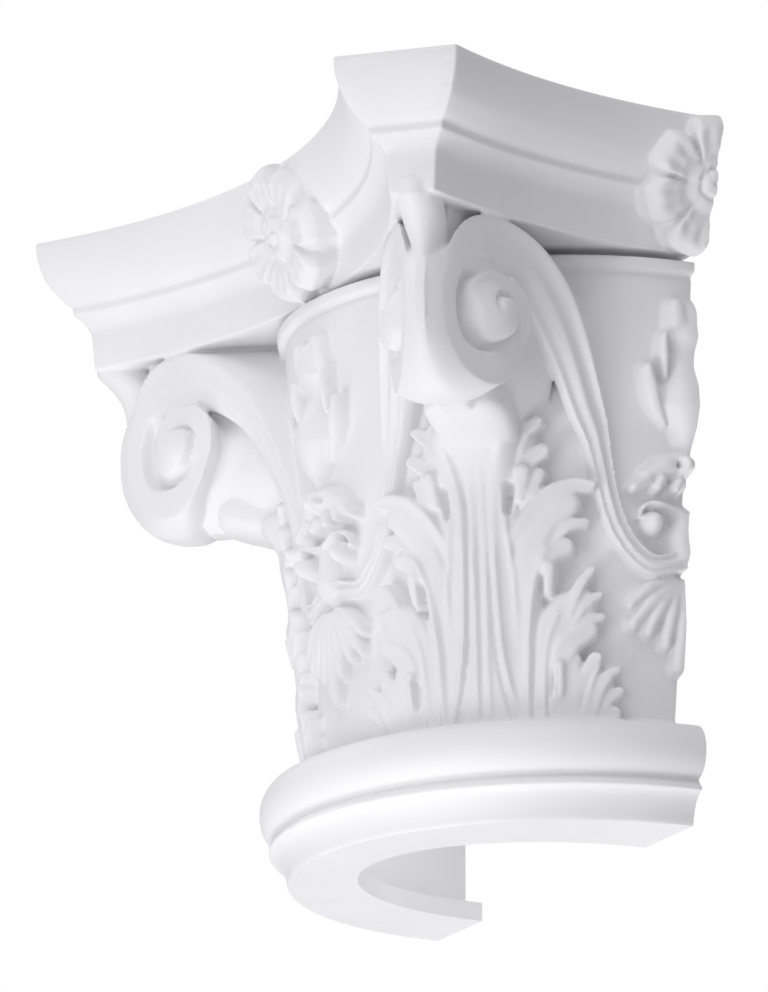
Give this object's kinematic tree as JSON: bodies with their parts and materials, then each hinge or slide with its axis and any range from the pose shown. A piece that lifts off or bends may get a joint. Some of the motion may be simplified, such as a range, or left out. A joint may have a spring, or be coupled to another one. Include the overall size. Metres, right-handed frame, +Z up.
{
  "type": "half column capital",
  "caption": "Half capital of the corinthian order, carved with acanthus leaves, scrolls and flowers under a hollow-sided abacus; flat back for a wall, open and hollow inside.",
  "frame": {"origin": "middle of the underside of the box that holds the capital, on the plane of the ring's underside", "axes": "+Z up, -Y out of the wall towards the front, +X along the wall"},
  "size_m": [0.3462, 0.1658, 0.2759],
  "materials": {
    "primed_white": "satin white primer on a moulded casting"
  },
  "bodies": {
    "root": {"half_capital": "primed_white"}
  },
  "joints": []
}
